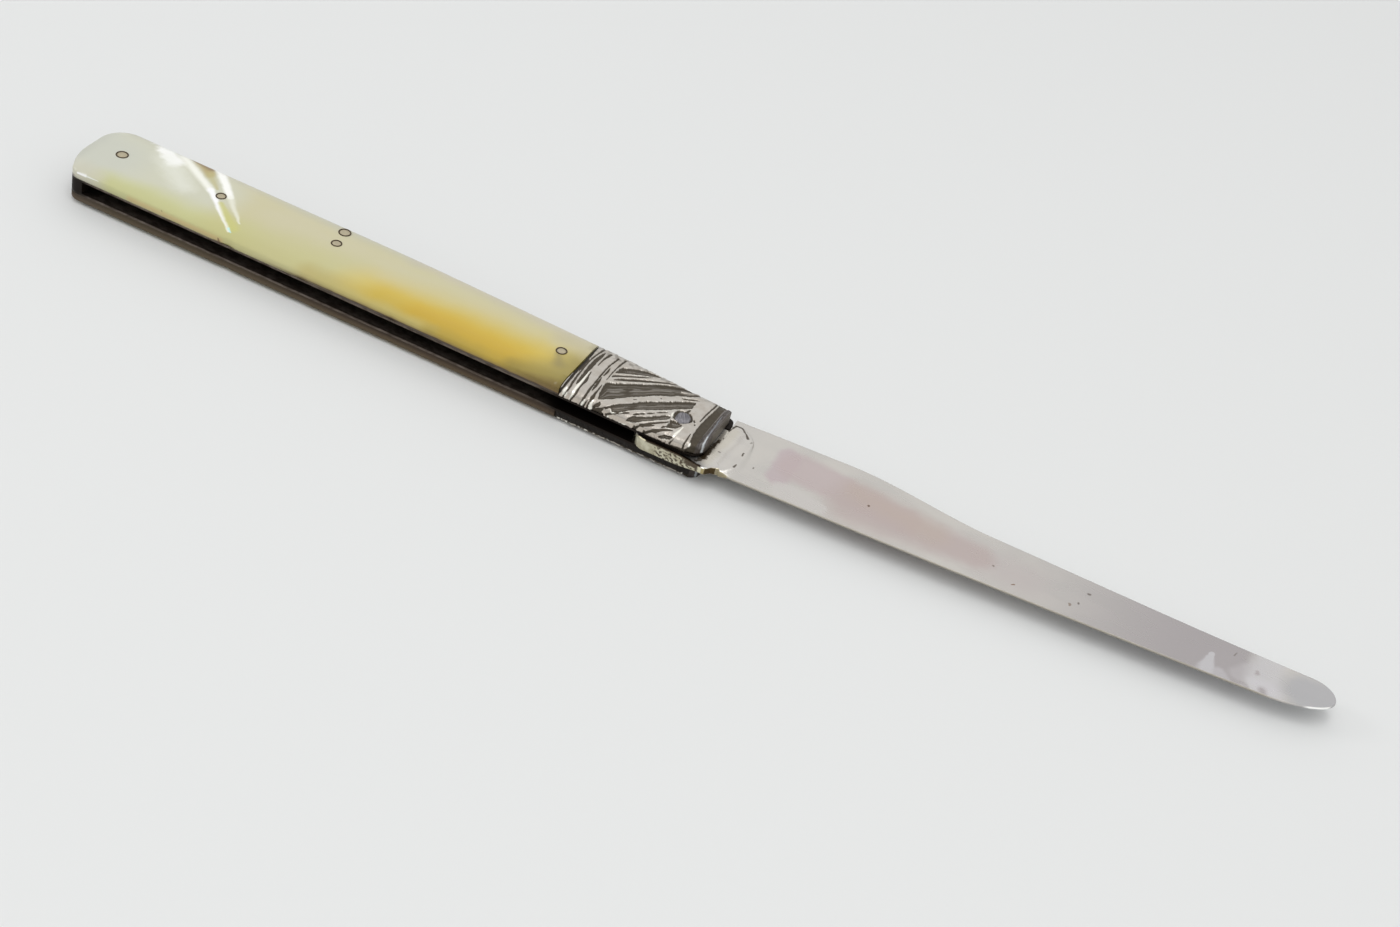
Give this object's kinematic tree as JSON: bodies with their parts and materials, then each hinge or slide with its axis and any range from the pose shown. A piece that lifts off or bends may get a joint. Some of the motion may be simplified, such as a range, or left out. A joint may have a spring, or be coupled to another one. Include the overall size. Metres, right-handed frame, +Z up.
{
  "type": "pen knife",
  "caption": "Folding knife with pearl scales, fluted metal bolsters, brass liners, a slip-joint back spring and a long round-pointed blade that folds into the handle.",
  "frame": {"origin": "where the pivot axis meets the plane that the knife lies on, at the flush rear end of the pivot pin", "axes": "+X along the handle towards the tip of the open blade, +Y towards the back of the knife, +Z up through the front face"},
  "size_m": [0.1755, 0.0129, 0.0056],
  "materials": {
    "blade_steel": "polished, with faint mauve tarnish and small pits",
    "spring_steel": "dark, aged",
    "liner_brass": "dull and tarnished",
    "bolster_metal": "silvery ridges with dark recesses",
    "pearl": "polished shell with cream, green-yellow and amber zones",
    "pivot_steel": "filed flush",
    "pin_metal": "dull pin ends, each with a dark ring"
  },
  "bodies": {
    "handle": {"backspring": "spring_steel", "front_liner": "liner_brass", "rear_liner": "liner_brass", "front_bolster": "bolster_metal", "rear_bolster": "bolster_metal", "front_scale": "pearl", "rear_scale": "pearl", "pivot_pin": "pivot_steel", "spring_pin": "pin_metal", "butt_pin": "pin_metal", "front_scale_pins": "pin_metal", "rear_scale_pins": "pin_metal"},
    "blade": {"blade": "blade_steel"}
  },
  "joints": [
    {"name": "blade_pivot", "type": "hinge", "parent": "handle", "child": "blade", "pos_m": [0, 0, 0.0028], "axis": [0, 0, -1], "range_deg": [0, 181], "deforming": ["backspring"]}
  ]
}
